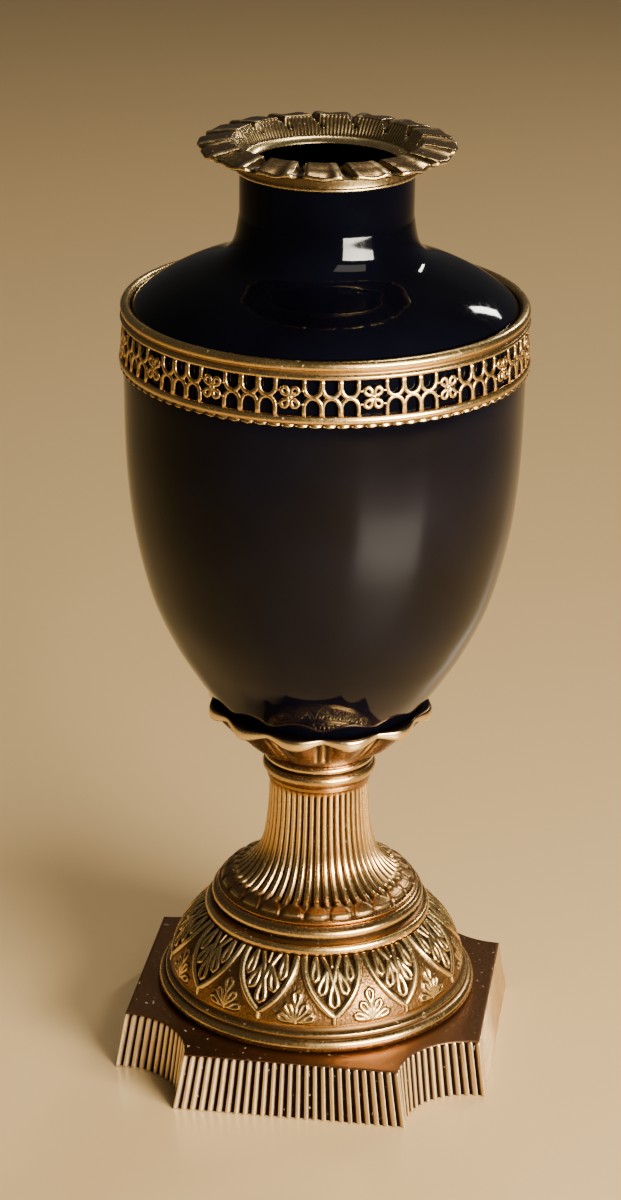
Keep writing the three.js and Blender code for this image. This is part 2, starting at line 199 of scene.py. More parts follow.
def noise_node(nodes, links, place, size, detail, roughness=0.5):
    """A noise texture laid out on the piece's own coordinates; returns its value."""
    node = nodes.new("ShaderNodeTexNoise")
    node.inputs["Scale"].default_value = size
    node.inputs["Detail"].default_value = detail
    node.inputs["Roughness"].default_value = roughness
    links.new(place, node.inputs["Vector"])
    return node.outputs["Fac"]


def brass(name, body, dark, bright, rough, dusty=0.0, grain=0.00012):
    """Aged brass. The colour runs from the dark patinated hollows, in places painted shade, through the
    body to the pale worn high parts, in places a painted highlight, each broken up by noise; the dark is
    duller, a fine cast grain lifts the surface, and where dusty is above 0 pale specks of dust lie on it."""
    material = bpy.data.materials.new(name)
    material.use_nodes = True
    nodes, links = material.node_tree.nodes, material.node_tree.links
    shader = nodes["Principled BSDF"]
    shader.inputs["Metallic"].default_value = 1.0
    place = nodes.new("ShaderNodeTexCoord").outputs["Object"]

    def noise(size, detail):
        return noise_node(nodes, links, place, size, detail, roughness=0.6)

    def mark(attribute):
        node = nodes.new("ShaderNodeAttribute")
        node.attribute_name = attribute
        return node.outputs["Fac"]

    def remap(value, low, high, to_low, to_high):
        node = nodes.new("ShaderNodeMapRange")
        for socket, number in zip(range_sockets, (low, high, to_low, to_high)):
            node.inputs[socket].default_value = number
        links.new(value, node.inputs["Value"])
        return node.outputs["Result"]

    def maths(operation, a, b):
        node = nodes.new("ShaderNodeMath")
        node.operation = operation
        node.use_clamp = True
        for socket, value in zip(node.inputs, (a, b)):
            if isinstance(value, float):
                socket.default_value = value
            else:
                links.new(value, socket)
        return node.outputs["Value"]

    def mix(factor, a, b):
        node = nodes.new("ShaderNodeMix")
        node.data_type = "RGBA"
        links.new(factor, node.inputs["Factor"])
        for socket, value in ((node.inputs["A"], a), (node.inputs["B"], b)):
            if isinstance(value, tuple):
                socket.default_value = (*value, 1.0)
            else:
                links.new(value, socket)
        return node.outputs["Result"]

    blotches = noise(38.0, 4.0)
    speckle = noise(620.0, 3.0)
    # The pale mix is worn brass and in places a painted highlight; the dark mix is patina in the hollows
    # and in places painted shade.
    wear_highlight_mix = maths("MULTIPLY", mark("rubbed"), remap(blotches, 0.3, 0.62, 0.6, 1.0))
    patina_shade_mix = maths("MAXIMUM", maths("MULTIPLY", mark("hollow"), remap(speckle, 0.3, 0.7, 0.92, 1.0)),
                   remap(blotches, 0.52, 0.8, 0.0, 0.42))
    colour = mix(patina_shade_mix, mix(wear_highlight_mix, body, bright), dark)
    roughness = maths("ADD", remap(patina_shade_mix, 0.0, 1.0, rough, rough + 0.3),
                      remap(speckle, 0.3, 0.7, -0.04, 0.06))
    if dusty > 0:
        specks = remap(noise(330.0, 2.0), 0.69, 0.72, 0.0, dusty)
        colour = mix(specks, colour, (0.62, 0.52, 0.4))
        roughness = maths("ADD", roughness, specks)
    links.new(colour, shader.inputs["Base Color"])
    links.new(roughness, shader.inputs["Roughness"])
    bump = nodes.new("ShaderNodeBump")
    bump.inputs["Strength"].default_value = 0.2
    bump.inputs["Distance"].default_value = grain
    links.new(maths("ADD", speckle, maths("MULTIPLY", blotches, 0.8)), bump.inputs["Height"])
    links.new(bump.outputs["Normal"], shader.inputs["Normal"])
    return material


def finish_piece(piece, material, slot, *nodes):
    """The piece gets its material, rides on the urn's one body, and stands for its CAD nodes."""
    piece.data.materials.append(material)
    if nodes:
        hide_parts(*nodes)
    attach(piece, "root")


aged_brass = brass("aged_brass", body=(0.21, 0.1, 0.045), dark=(0.003, 0.0015, 0.001),
                   bright=(1.0, 0.79, 0.46), rough=0.32, dusty=0.8)
finish_piece(make_plinth(), aged_brass, "aged_brass", "plinth")

# Domed foot
# A cast and turned gilt brass foot: a torus at its edge, a belt of hanging leaves, and two rings on top.
# This body is the turned part; the leaf belt below lies on it.
foot_base = 31.1
foot_radius = 86.5
belt_radius_below = 79.8
belt_start = 13.7
belt_radius_above = 60.2
belt_height = 30.8
belt_bulge = 3.9
foot_top_radius = 56.9
foot_top_height = 14.4
round_columns = 240


def moulding(*corners):
    """Radius and height along a turned profile. Each corner is (radius, height, bulge, steps):
    an arc of a circle from the corner before, standing out by bulge to the right of travel."""
    r, z = [corners[0][0]], [corners[0][1]]
    for radius, height, bulge, steps in corners[1:]:
        r0, z0 = r[-1], z[-1]
        chord = math.hypot(radius - r0, height - z0)
        t = np.linspace(0, 1, steps + 1)[1:]
        if bulge == 0:
            along, out = t, 0 * t
        else:
            half = 2 * math.atan(2 * bulge / chord)
            along = 0.5 + np.sin((2 * t - 1) * half) / (2 * math.sin(half))
            out = (np.cos((2 * t - 1) * half) - math.cos(half)) / (2 * math.sin(half))
        r += list(r0 + along * (radius - r0) + out * (height - z0))
        z += list(z0 + along * (height - z0) - out * (radius - r0))
    return np.array(r), np.array(z)


def turned(profile, columns, relief=0.0, turn=0.0):
    """Points of a body of revolution, each moved out by relief square to the profile.
    Columns are counted from the front towards +X, starting at turn degrees."""
    r, z = profile
    along_r, along_z = np.gradient(r), np.gradient(z)
    length = np.hypot(along_r, along_z)
    angle = math.radians(turn) + 2 * math.pi * np.arange(columns) / columns
    radius = r[:, None] + (along_z / length)[:, None] * relief + 0 * angle
    height = z[:, None] - (along_r / length)[:, None] * relief + 0 * angle
    return np.stack([radius * np.sin(angle), -radius * np.cos(angle), height], -1)


def turned_piece(name, profile, columns=round_columns, hollow=0.0, rubbed=0.0, loop=False):
    """A plain turned body; hollow and rubbed are given per row of the profile."""
    points = turned(profile, columns)
    marks = {"hollow": np.reshape(hollow, (-1, 1)) if np.ndim(hollow) else hollow,
             "rubbed": np.reshape(rubbed, (-1, 1)) if np.ndim(rubbed) else rubbed}
    return new_mesh(name, *closed_shell(points, loop), shell_marks(marks, points.shape[:2], loop))


def raised(profile, base):
    """The profile moved up to its base."""
    return profile[0], profile[1] + base


def crease_marks(profile, width):
    """Per row: 1 in an inward crease of the profile and 0 a width away, and the same for outward crests."""
    r, z = profile
    heading = np.unwrap(np.arctan2(np.gradient(z), np.gradient(r)))
    bend = np.gradient(heading)
    step = np.cumsum(np.hypot(np.diff(r, prepend=r[0]), np.diff(z, prepend=z[0])))
    near = np.exp(-((step[:, None] - step[None, :]) / width) ** 2)
    inward = np.clip(-(near * bend[None, :]).sum(1) / 0.9, 0, 1)
    outward = np.clip((near * bend[None, :]).sum(1) / 0.9, 0, 1)
    return inward, outward


def bowed(start, end, bulge, t):
    """Points part of the way along a line that bulges out like a bow by 4 t (1 - t) of its bulge."""
    run, rise = end[0] - start[0], end[1] - start[1]
    out = 4 * t * (1 - t) * bulge / math.hypot(run, rise)
    return start[0] + run * t + rise * out, start[1] + rise * t - run * out


belt_top = belt_start + belt_height
under_belt = bowed((belt_radius_below, belt_start), (belt_radius_above, belt_top), belt_bulge,
                   np.linspace(0, 1, 14))
foot_below = moulding(
    (foot_radius - 3.2, 0.0), (foot_radius - 2.9, 7.4, 3.0, 12), (foot_radius - 3.7, 8.6, -0.4, 4),
    (foot_radius - 4.5, 9.8, 0.25, 4), (foot_radius - 5.2, 10.3, 0, 2),
    (belt_radius_below, belt_start, -0.7, 6),
)
foot_above = moulding(
    (belt_radius_above, belt_top), (belt_radius_above + 0.5, belt_top + 0.8, 0, 2),
    (belt_radius_above - 0.4, belt_top + 5.4, 0.9, 8), (foot_top_radius - 1.6, belt_top + 7.4, -0.8, 6),
    (foot_top_radius - 0.8, belt_top + 8.0, 0, 2), (foot_top_radius - 1.5, belt_top + 13.2, 1.7, 10),
    (foot_top_radius - 3.4, belt_top + foot_top_height, 0.3, 4),
)
foot_r = np.concatenate([foot_below[0], under_belt[0][1:-1] - 0.7, foot_above[0]])
foot_z = np.concatenate([foot_below[1], under_belt[1][1:-1] - 0.4, foot_above[1]])
foot_profile = raised((foot_r, foot_z), foot_base)
foot_hollow, foot_rubbed = crease_marks(foot_profile, 1.2)

gilt_brass = brass("gilt_brass", body=(0.43, 0.225, 0.078), dark=(0.006, 0.003, 0.0012),
                   bright=(1.0, 0.71, 0.29), rough=0.23, dusty=0.35)
finish_piece(turned_piece("foot_mouldings", foot_profile, hollow=foot_hollow, rubbed=foot_rubbed),
             gilt_brass, "gilt_brass", "foot_dome")

# Leaf belt
# Twelve broad pointed leaves hang tip down round the dome, cast in one with the foot. Each has a thick
# rib for a border and hanging drops inside it, and a fan of five petals stands between each two tips.
leaf_count = 12
leaf_turn = 15.0
leaf_columns = 88
belt_rows = 76
belt_back_step = 25
belt_back_depth = 1.4
leaf_tip = 4.2
leaf_gap_angle = 1.95
leaf_border = 1.6
leaf_relief = 1.25
drop_line = 1.22
petal_line = 1.0
stipple = np.random.default_rng(7).random((belt_rows, leaf_columns)) - 0.5


def ridge_height(away, line):
    """Height of a ridge at a distance from its middle line: exp(-(distance / line)^3), flat on top."""
    return np.exp(-(np.abs(away) / line) ** 3)


def drop_ridge(x, y, root, end, width, line):
    """Height of a hanging drop drawn as a ridge: a loop that is pointed at its root and round at its end.
    Its half breadth at a share t of its length is width * 1.3 * t * sqrt(1 - t^4)."""
    axis = np.array(end) - np.array(root)
    length = math.hypot(*axis)
    axis = axis / length
    t = ((x - root[0]) * axis[0] + (y - root[1]) * axis[1]) / length
    aside = np.abs((y - root[1]) * axis[0] - (x - root[0]) * axis[1])
    inside = np.clip(t, 0.0, 1.0)
    half = width * 1.3 * inside * np.sqrt(1 - inside ** 4)
    beyond = np.where(t > 1, (t - 1) * length, np.where(t < 0, -t * length, 0.0))
    return ridge_height(np.hypot(aside - half, beyond), line)


def stroke(x, y, start, end, line):
    """Height of a straight ridge from start to end."""
    axis = np.array(end) - np.array(start)
    length = math.hypot(*axis)
    axis = axis / length
    t = np.clip((x - start[0]) * axis[0] + (y - start[1]) * axis[1], 0.0, length)
    return ridge_height(np.hypot(x - start[0] - t * axis[0], y - start[1] - t * axis[1]), line)


def leaf_half_angle(up):
    """Half the angle a leaf covers, in degrees: it opens from its tip like a pointed arch."""
    return (180 / leaf_count - leaf_gap_angle) * (1 - (1 - np.clip(up, 0, 1)) ** 2.2)


def belt_relief(turn, y, r, length):
    """Height of the carving in millimetres, how dark the ground is, and how worn the raised parts are, at a
    turn in degrees from a leaf's middle and a distance y up the belt. The ground is stippled with seeded
    noise and carries a painted shadow line at the feet of the raised forms."""
    x = np.radians(turn) * r
    side = np.abs(x)
    up = (y - leaf_tip) / (length - leaf_tip)
    edge = np.radians(leaf_half_angle(up)) * r
    slope = np.gradient(edge[:, 0], y[:, 0])[:, None]
    away = (side - edge) / np.sqrt(1 + slope ** 2)
    border = np.maximum(np.where(up >= 0, ridge_height(away, leaf_border), 0.0),
                        stroke(side, y, (0.0, 0.3), (0.0, leaf_tip), 1.1))
    drops = np.maximum.reduce([
        drop_ridge(x, y, (0.0, 23.2), (0.0, 9.9), 2.8, drop_line),
        drop_ridge(side, y, (3.0, 28.6), (6.9, 16.9), 2.3, drop_line),
        drop_ridge(side, y, (8.0, 37.0), (9.6, 23.9), 2.0, drop_line),
        stroke(side, y, (0.2, 22.4), (2.0, 30.0), drop_line),
        stroke(side, y, (2.0, 30.0), (4.6, 37.0), drop_line),
        stroke(side, y, (0.0, 31.5), (0.0, 37.0), 0.7),
    ])
    drops = drops * smooth_step(-away, leaf_border * 0.9, leaf_border * 1.3) * (up > 0)
    aside = math.pi / leaf_count * r - side
    fan = np.maximum.reduce([
        stroke(aside, y, (0.0, 0.5), (0.0, 9.8), petal_line),
        drop_ridge(aside, y, (0.0, 9.6), (0.0, 17.4), 2.3, petal_line),
        drop_ridge(aside, y, (0.9, 3.4), (5.3, 10.8), 1.9, petal_line),
        drop_ridge(aside, y, (1.9, 1.8), (9.4, 4.6), 1.8, petal_line),
    ]) * smooth_step(away, leaf_border * 1.1, leaf_border * 1.6)
    height = np.maximum.reduce([border * leaf_relief, drops, fan * 0.85])
    raised_share = smooth_step(height, 0.35, 0.75)
    # Painted shadow: the ground is darkened at the feet of the raised forms, where their shade falls.
    painted_shadow_line = smooth_step(height, 0.02, 0.2) * (1 - raised_share)
    ground = np.where(away < 0, 1.0, 0.45 + 0.45 * stipple + 0.5 * painted_shadow_line)
    edges = smooth_step(y, 0.0, 0.8) * smooth_step(length - y, 0.0, 0.5)
    height = height + 0.3 * stipple * (1 - raised_share)
    return height * edges, np.clip(ground, 0, 1) * (1 - raised_share) * edges, raised_share * edges


def make_belt():
    """One leaf's carving on a fine grid, repeated round the dome, with a plain back under it."""
    t = np.linspace(0, 1, belt_rows)
    r, z = bowed((belt_radius_below, belt_start), (belt_radius_above, belt_top), belt_bulge, t)
    y = np.concatenate([[0], np.cumsum(np.hypot(np.diff(r), np.diff(z)))])
    turn = ((np.arange(leaf_columns) + 0.5) / leaf_columns - 0.5) * 360 / leaf_count
    across, up = np.meshgrid(turn, y)
    height, hollow, rubbed = belt_relief(across, up, r[:, None] + 0 * across, y[-1])
    height, hollow, rubbed = (np.tile(each, (1, leaf_count)) for each in (height, hollow, rubbed))
    first = leaf_turn + turn[0]
    outside = turned((r, z + foot_base), leaf_columns * leaf_count, height, first)
    back = (r[::-1][::belt_back_step], (z + foot_base)[::-1][::belt_back_step])
    inside = turned(back, leaf_columns * leaf_count, belt_back_depth, first)
    points = np.concatenate([outside, inside])
    marks = {"hollow": np.concatenate([hollow, np.ones(inside.shape[:2])]),
             "rubbed": np.concatenate([rubbed, np.zeros(inside.shape[:2])])}
    marks = shell_marks(marks, points.shape[:2], loop=True)
    return new_mesh("leaf_belt", *closed_shell(points, loop=True), marks)


finish_piece(make_belt(), gilt_brass, "gilt_brass", "foot_dome")

# Fluted stem
# A trumpet-shaped brass stem, cast with forty-eight flutes that end round at the bottom.
# Its lower end spreads into a disc with a ring of short leaf tongues.
stem_base = 90.3
disc_radius = 54.2
disc_height = 4.6
flute_count = 48
flute_samples = 14
stem_waist = 26.5
stem_height = 67.7
stem_band_height = 5.0
stem_band_radius = 27.7
flute_depth = 1.3
flute_bottom = 9.6
ridge_half_width = 1.75
stem_flare = 17.7
flare_fade = 9.5
stem_taper = 4.4
foot_leaf_count = 24
foot_leaf_reach = 8.0


def stem_radius(height):
    """Crest radius: the waist, plus a flare that dies away upward, plus a slight taper."""
    flare = stem_flare * np.exp(-(height - disc_height - 1) / flare_fade)
    return stem_waist + flare + stem_taper * (1 - height / stem_height) ** 2


def make_stem():
    """The disc, the trumpet with its flutes, and the plain band above them. A flute's ridge is flat-topped
    and nearly even in width, so the grooves widen downwards. On the disc lies a ring of leaves, each
    an arch over two flutes, with every second ridge running down between two leaves."""
    flute_top = stem_height - stem_band_height
    disc_r, disc_z = moulding(
        (disc_radius - 1.0, 0.0), (disc_radius - 0.2, 0.9, 0.2, 3), (disc_radius - 1.0, 2.0, 0.4, 4),
        (disc_radius - 2.6, 2.9, 0.0, 2),
    )
    spread_r = np.linspace(disc_r[-1] - 0.5, stem_radius(disc_height), 8)
    spread_z = np.linspace(disc_z[-1] + 0.15, disc_height, 8)
    heights = disc_height + (flute_top + 2.4 - disc_height) * np.linspace(0, 1, 60)[1:] ** 1.6
    band_z = np.linspace(flute_top + 2.6, stem_height, 6)
    r = np.concatenate([disc_r, spread_r, stem_radius(heights), np.full(6, stem_band_radius)])[:, None]
    rise = np.concatenate([disc_z, spread_z, heights, band_z])[:, None]
    columns = flute_count * flute_samples
    phase = np.arange(columns)[None, :] / flute_samples
    pitch = 2 * math.pi * r / flute_count
    across = np.abs((phase + 0.5) % 1.0 - 0.5) * pitch
    ridge_half = np.minimum(ridge_half_width, 0.34 * pitch)
    ridge = np.sqrt(np.clip(1 - (across / ridge_half) ** 4, 0, 1))
    from_groove = np.clip((0.5 * pitch - across) / (0.5 * pitch - 0.6 * ridge_half), 0, 1)
    end_round = 2.4 * np.sqrt(1 - from_groove ** 2)
    cut = smooth_step(rise, flute_bottom - 0.7 - end_round, flute_bottom + 0.7 - end_round)
    below_band = smooth_step(flute_top + 1.0 - rise, 0.0, 2.0)
    cut = cut * below_band
    crest_end = flute_bottom - 1.9 - 1.1 * ridge
    above_end = smooth_step(rise, crest_end - 0.4, crest_end + 0.4) * below_band
    crest = (1 - smooth_step(across, 0.6 * ridge_half, 0.9 * ridge_half)) * above_end
    deep = flute_depth * np.sqrt(np.clip(r / stem_waist, 1, 2))
    leaf_pitch = 2 * math.pi * r / foot_leaf_count
    beside = np.abs((phase / 2 + 0.5) % 1.0 - 0.5) * leaf_pitch
    reach = disc_radius - 2.4 - r
    on_leaves = (rise > 2.5) & (reach < foot_leaf_reach + 1)
    arch = 0.47 * leaf_pitch * np.sqrt(np.clip(1 - (reach / foot_leaf_reach) ** 2, 0, 1))
    from_leaf_middle = 0.5 * leaf_pitch - beside
    leaf = smooth_step(arch - from_leaf_middle, -0.2, 1.2) * on_leaves
    between = ridge_height(beside, 1.2) * on_leaves * smooth_step(reach, 1.2, 4.0)
    # The lip is a low ridge round the rim of the disc; its bright line, added to the pale mark, is a
    # painted highlight along the lower edge of the leaves.
    lip = np.exp(-((reach - 1.1) / 0.7) ** 2) * (1 - smooth_step(from_leaf_middle, 2.8, 4.8)) * on_leaves
    relief = (-deep * (1 - ridge) * cut + 0.4 * ridge * above_end * on_leaves
              + 0.7 * leaf + 0.2 * between + 0.5 * lip)
    hollow = ((1 - smooth_step(ridge, 0.1, 0.5)) * cut * (1 - crest)
              + 0.8 * on_leaves * (1 - leaf) * (1 - between) * (1 - cut) + 0.25 * leaf * (1 - cut))
    rubbed = 0.85 * crest + lip
    points = turned((r[:, 0], rise[:, 0] + stem_base), columns, relief)
    marks = shell_marks({"hollow": hollow, "rubbed": rubbed}, points.shape[:2])
    return new_mesh("fluted_stem_cast", *closed_shell(points), marks)


finish_piece(make_stem(), gilt_brass, "gilt_brass", "fluted_stem")

# Stem collar
# A turned brass ring between the stem and the leaf cup: a broad round below and a narrow one above.
collar_base = 158.3
collar_radius = 30.4
collar_height = 12.6
collar_profile = raised(moulding(
    (collar_radius - 2.5, 0.0), (collar_radius - 1.9, 1.0, 0.1, 3), (collar_radius - 1.6, 6.9, 1.75, 12),
    (collar_radius - 2.2, 7.6, -0.1, 3), (collar_radius - 2.2, 8.4, -0.1, 3),
    (collar_radius - 1.5, 8.9, 0, 2), (collar_radius - 1.6, 11.9, 0.9, 8),
    (collar_radius - 2.6, collar_height, 0.1, 3),
), collar_base)
collar_hollow, collar_rubbed = crease_marks(collar_profile, 0.9)
finish_piece(turned_piece("stem_collar_turned", collar_profile, 160, collar_hollow, collar_rubbed),
             gilt_brass, "gilt_brass", "stem_collar")

# Leaf cup
# The cast calyx that the porcelain sits in: twelve leaves side by side, each rolled outward at its lip,
# with a raised rib between two thinner ones under each cusp.
cup_base = 171.2
cup_height = 29.8
cup_floor = 13.6
cup_inner_edge = 55.4
cup_foot_radius = 28.9
cup_lobes = 12
cup_turn = -5.3
lobe_columns = 44
lip_square = 0.66
body_rows = 26
lip_rows = 16


def cup_rows(lobe):
    """Radius and height of each row round the cup; lobe is 1 in the middle of a leaf and 0 at a cusp.
    The rows run up the outside, round the rolled lip, in over its broad sloping top, and down to the floor.
    The lip's section is a squared arc, cosine and sine to the power lip_square, round a centre that
    moves out and down with the lobe."""
    body_end_r, body_end_z = 54.6 + 1.1 * lobe, 25.8 - 3.3 * lobe
    arc_r, arc_z = 55.9 + 1.2 * lobe, 27.8 - 2.0 * lobe
    arc_round = 1.55 + 2.05 * lobe
    t = np.linspace(0, 1, body_rows)[:, None]
    swell = 4 * t * (1 - t) * (1.2 + 1.2 * lobe)
    body_r = cup_foot_radius + (body_end_r - cup_foot_radius) * t + swell * 0.66
    body_z = 1.0 + (body_end_z - 1.0) * t - swell * 0.75
    angle = np.radians(np.linspace(-112, 78, lip_rows))[:, None]
    c, s = np.cos(angle), np.sin(angle)
    lip_r = arc_r + arc_round * np.sign(c) * np.abs(c) ** lip_square
    lip_z = arc_z + arc_round * np.sign(s) * np.abs(s) ** lip_square
    t = np.linspace(0, 1, 8)[1:, None]
    top_r = lip_r[-1] + (cup_inner_edge - lip_r[-1]) * t
    top_z = lip_z[-1] + (cup_height - 0.4 - lip_z[-1]) * t
    seat = np.array([(cup_inner_edge - 0.5, cup_height - 1.0), (52.6, 23.0), (43.2, 15.2),
                     (33.5, cup_floor)])
    start = np.array([(28.0, 0.0), (28.6, 0.4)])
    even = 1 + 0 * lobe
    return (np.vstack([start[:, :1] * even, body_r, lip_r, top_r, seat[:, :1] * even]),
            np.vstack([start[:, 1:] * even, body_z, lip_z, top_z, seat[:, 1:] * even]))


def make_cup():
    """Twelve rolled leaves. Under each cusp a raised rib runs down between two grooves and two thinner
    ribs; a shallow vein marks the middle of each leaf."""
    columns = cup_lobes * lobe_columns
    part = (np.arange(columns) / lobe_columns) % 1.0
    lobe = np.sin(math.pi * part)[None, :] ** 1.6
    r, z = cup_rows(lobe)
    row = np.arange(len(r))[:, None]
    on_body = (row > 1) & (row < 2 + body_rows)
    on_lip = (row >= 2 + body_rows + 2) & (row < 2 + body_rows + lip_rows - 4)
    inner = row >= 2 + body_rows + lip_rows - 2
    up = np.clip(z / 25.0, 0, 1)
    from_cusp = np.minimum(part, 1 - part)[None, :] * 2 * math.pi * r / cup_lobes
    fade = smooth_step(up, 0.12, 0.5)
    rib = ridge_height(from_cusp, 1.15) * fade
    groove = np.exp(-((from_cusp - 2.3) / 0.85) ** 2) * fade
    thin_rib = np.exp(-((from_cusp - 3.9) / 0.7) ** 2) * fade
    vein = np.exp(-((0.5 * 2 * math.pi * r / cup_lobes - from_cusp) / 0.8) ** 2) * on_body
    relief = on_body * (1.0 * rib - 0.9 * groove + 0.35 * thin_rib - 0.3 * vein)
    angle = np.radians(cup_turn + (np.arange(columns) / lobe_columns - 0.5) * 360 / cup_lobes)
    radius, height = r + 0.8 * relief, z - 0.45 * relief + cup_base
    points = np.stack([radius * np.sin(angle), -radius * np.cos(angle), height], -1)
    # Painted shade: the body is darkened just under the rolled lip, and the inner slope of the lip and the
    # seat under the porcelain are painted fully dark.
    painted_shade_under_lip = smooth_step(row, body_rows - 5, body_rows + 1) * on_body
    hollow = on_body * (0.15 + 0.75 * groove + 0.3 * vein * (1 - up)) + 0.6 * painted_shade_under_lip + inner
    rubbed = on_lip + on_body * (0.8 * rib + 0.3 * thin_rib)
    marks = shell_marks({"hollow": hollow, "rubbed": rubbed}, points.shape[:2])
    return new_mesh("leaf_cup_cast", *closed_shell(points), marks)


cup_brass = brass("cup_brass", body=(0.3, 0.165, 0.09), dark=(0.005, 0.0025, 0.0015),
                  bright=(1.0, 0.76, 0.38), rough=0.22, grain=0.00004)
finish_piece(make_cup(), cup_brass, "gilt_brass", "leaf_cup")

# Porcelain vase
# One thrown and turned porcelain vessel, hollow, glazed inside and out in a cobalt so deep it looks black.
# It sits in the leaf cup and is open from the mouth down.
vase_base = 185.1
vase_radius = 102.9
vase_wall = 4.5
vase_body_height = 233.0
shoulder_height = 48.0
shoulder_set_back = 4.5
neck_radius = 44.2
neck_height = 25.2
vase_foot_radius = 32.5
wide_columns = 288


def smooth_curve(points, steps):
    """A Catmull-Rom curve through the points, with so many steps between each two."""
    p = np.array([2 * np.array(points[0]) - points[1], *points, 2 * np.array(points[-1]) - points[-2]])
    t = (np.arange(steps) / steps)[:, None, None]
    a, b, c, d = p[:-3], p[1:-2], p[2:-1], p[3:]
    curve = 0.5 * (2 * b + (c - a) * t + (2 * a - 5 * b + 4 * c - d) * t ** 2
                   + (3 * b - a - 3 * c + d) * t ** 3)
    curve = curve.transpose(1, 0, 2).reshape(-1, 2)
    return np.vstack([curve, p[-2]]).T


belly_shares = [(0.48, 0.041), (0.558, 0.084), (0.6618, 0.1485), (0.7745, 0.2344), (0.8756, 0.3417),
                (0.9543, 0.4919), (0.9903, 0.6421), (1.0, 0.80), (0.9985, 0.88)]
shoulder_shares = [(1, 0), (0.9, 0.11), (0.734, 0.237), (0.55, 0.342), (0.365, 0.425), (0.218, 0.498),
                   (0.116, 0.581), (0.045, 0.72), (0, 1)]
shoulder_run = vase_radius - shoulder_set_back - neck_radius
vase_points = [(vase_foot_radius + 9, 2.0)]
vase_points += [(r * vase_radius, z * vase_body_height) for r, z in belly_shares]
vase_points += [(vase_radius - 0.53 * shoulder_set_back, 0.97 * vase_body_height)]
vase_points += [(neck_radius + out * shoulder_run, vase_body_height + up * shoulder_height)
                for out, up in shoulder_shares]
vase_top = vase_body_height + shoulder_height + neck_height
vase_curve = smooth_curve(vase_points, 9)


def make_vase():
    """The outside is a smooth curve; the inside is that curve moved in by the wall, square to itself."""
    r, z = vase_curve
    along_r, along_z = np.gradient(r), np.gradient(z)
    length = np.hypot(along_r, along_z)
    inner_r = (r - vase_wall * along_z / length)[::-1][::2]
    inner_z = (z + vase_wall * along_r / length)[::-1][::2]
    keep = inner_z > vase_wall + 2.0
    lip_r, lip_z = moulding((neck_radius, vase_top - 0.8), (neck_radius - 0.8, vase_top, 0.25, 4),
                            (neck_radius - vase_wall + 0.8, vase_top, 0, 3),
                            (neck_radius - vase_wall, vase_top - 0.8, 0.25, 4))
    profile = (np.concatenate([[vase_foot_radius], r, lip_r, inner_r[keep], [vase_foot_radius]]),
               np.concatenate([[0.0], z, lip_z, inner_z[keep], [vase_wall + 0.6]]))
    return turned_piece("porcelain_vase", raised(profile, vase_base), wide_columns)


def glaze(name, colour, rough):
    """A deep coloured glaze under a clear gloss: hardly any colour of its own, faint waves in its surface,
    and dust that dulls it in spots."""
    material = bpy.data.materials.new(name)
    material.use_nodes = True
    nodes, links = material.node_tree.nodes, material.node_tree.links
    shader = nodes["Principled BSDF"]
    shader.inputs["IOR"].default_value = 1.46
    shader.inputs["Specular IOR Level"].default_value = 0.16
    shader.inputs["Coat Weight"].default_value = 0.1
    shader.inputs["Coat Roughness"].default_value = 0.03
    place = nodes.new("ShaderNodeTexCoord").outputs["Object"]
    wave = noise_node(nodes, links, place, 16.0, 2.0)
    dust = noise_node(nodes, links, place, 240.0, 5.0)
    rough_range = nodes.new("ShaderNodeMapRange")
    for socket, number in zip(range_sockets, (0.5, 0.75, rough, rough + 0.05)):
        rough_range.inputs[socket].default_value = number
    links.new(dust, rough_range.inputs["Value"])
    links.new(rough_range.outputs["Result"], shader.inputs["Roughness"])
    tone = nodes.new("ShaderNodeValToRGB")
    tone.color_ramp.elements[0].position = 0.35
    tone.color_ramp.elements[0].color = (*(0.6 * c for c in colour), 1)
    tone.color_ramp.elements[1].position = 0.7
    tone.color_ramp.elements[1].color = (*(1.5 * c for c in colour), 1)
    links.new(wave, tone.inputs["Fac"])
    links.new(tone.outputs["Color"], shader.inputs["Base Color"])
    bump = nodes.new("ShaderNodeBump")
    bump.inputs["Strength"].default_value = 0.12
    bump.inputs["Distance"].default_value = 0.004
    links.new(wave, bump.inputs["Height"])
    links.new(bump.outputs["Normal"], shader.inputs["Normal"])
    return material


cobalt_glaze = glaze("cobalt_glaze", (0.0013, 0.0014, 0.0034), 0.05)
finish_piece(make_vase(), cobalt_glaze, "glazed_porcelain", "vase")

# Rings of the pierced band
# Two turned brass rings clasp the vase's widest part: a double torus above and a single one below,
# which ends in a row of small scallops. The openwork stands between them.
band_bottom = 387.0
band_radius = 105.08
lower_ring_height = 6.3
gallery_height = 18.0
upper_ring_height = 9.1
gallery_top = lower_ring_height + gallery_height
scallop_count = 96
scallop_samples = 8
vase_clearance = 0.5


def vase_radius_at(height):
    """Radius of the porcelain's outside at a height in the frame, read off its curve."""
    return np.interp(height - vase_base, vase_curve[1], vase_curve[0])


def joined(shells):
    """Several closed shells as one mesh: their points and marks one after another, faces renumbered."""
    first = np.cumsum([0] + [len(points) for points, _, _, _ in shells])
    return (np.vstack([points for points, _, _, _ in shells]),
            np.vstack([quads + start for (_, quads, _, _), start in zip(shells, first)]),
            np.vstack([triangles + start for (_, _, triangles, _), start in zip(shells, first)]),
            {mark: np.concatenate([marks[mark] for _, _, _, marks in shells])
             for mark in ("hollow", "rubbed")})


def hoop(profile, columns, relief, hollow, rubbed):
    """A closed ring through an endless profile, as one shell for joining."""
    points = turned(profile, columns, relief)
    return (*closed_shell(points, loop=True),
            shell_marks({"hollow": hollow, "rubbed": rubbed}, points.shape[:2], loop=True))


